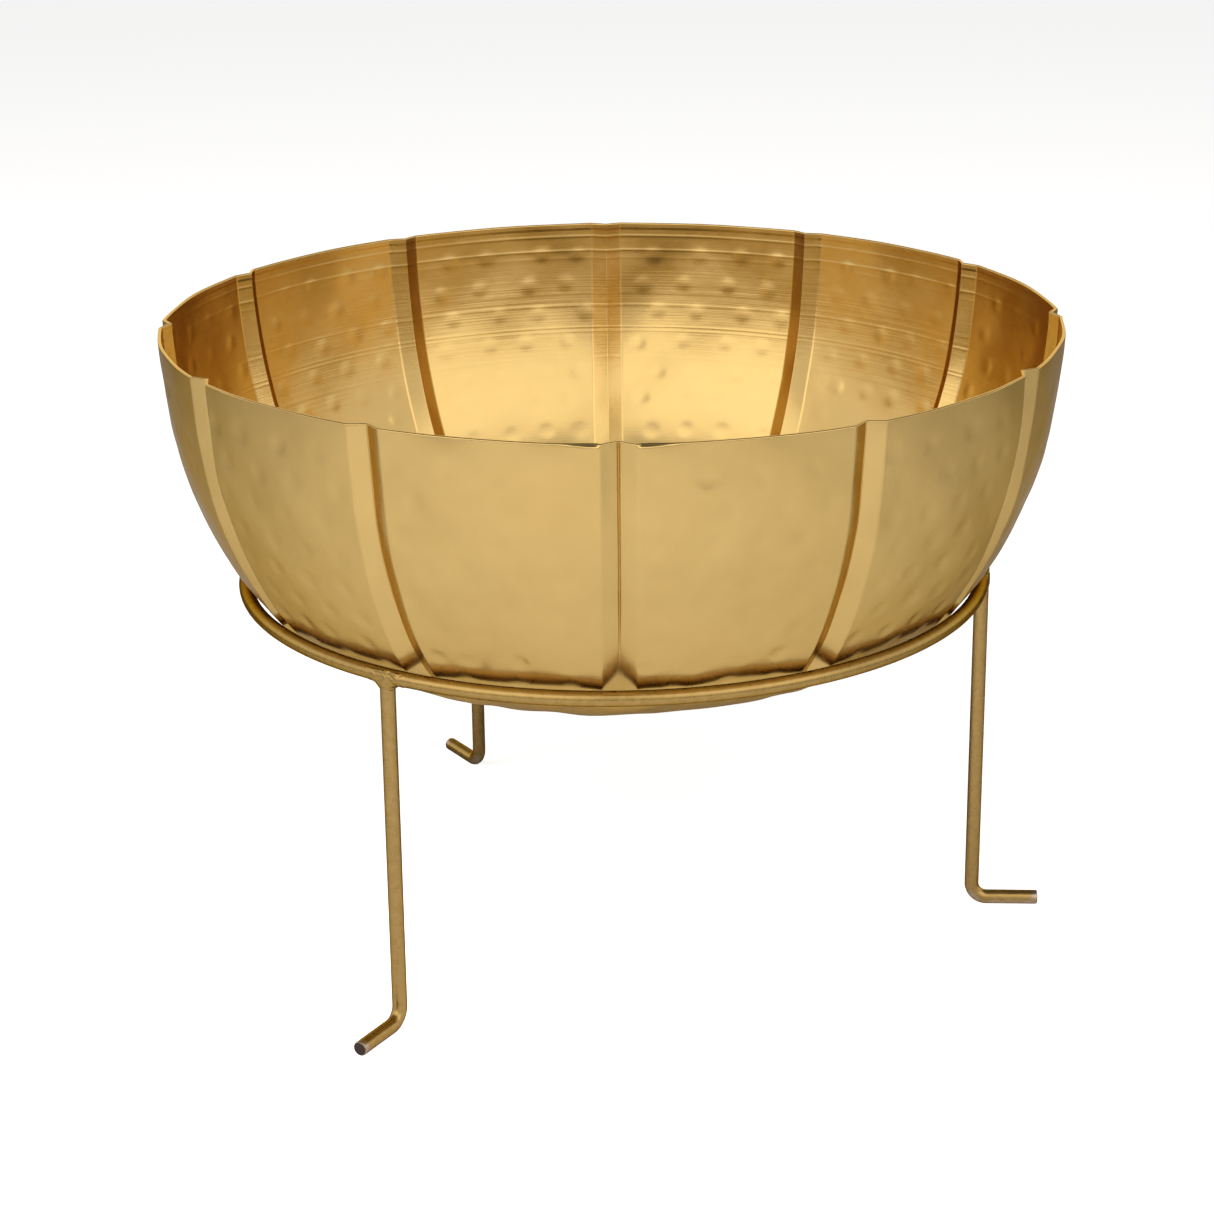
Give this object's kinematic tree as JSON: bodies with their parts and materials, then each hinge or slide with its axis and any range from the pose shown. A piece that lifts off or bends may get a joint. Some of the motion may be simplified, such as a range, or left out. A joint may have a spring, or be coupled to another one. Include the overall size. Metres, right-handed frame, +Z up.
{
  "type": "urli bowl on a stand",
  "caption": "Shallow creased sheet-metal bowl that rests in the round rod ring of a low three-legged stand and lifts off it.",
  "frame": {"origin": "on the floor, on the upright axis of the stand's ring and of the bowl", "axes": "+Z up; -Y is the front, where one of the bowl's creases faces the viewer; +X to the viewer's right"},
  "size_m": [0.3048, 0.3048, 0.2128],
  "materials": {
    "brass_sheet": "spun and hammered sheet with a fine satin grain, clear lacquered",
    "gold_paint": "satin metallic gold paint on steel rod, slightly worn at the feet"
  },
  "bodies": {
    "stand": {"stand_ring": "gold_paint", "leg_front_left": "gold_paint", "leg_right": "gold_paint", "leg_back": "gold_paint", "weld_front_left": "gold_paint", "weld_right": "gold_paint", "weld_back": "gold_paint"},
    "bowl": {"bowl": "brass_sheet"}
  },
  "joints": [
    {"name": "bowl_lift", "type": "slide", "parent": "stand", "child": "bowl", "axis": [0, 0, 1], "range_m": [0, 0.08]}
  ]
}
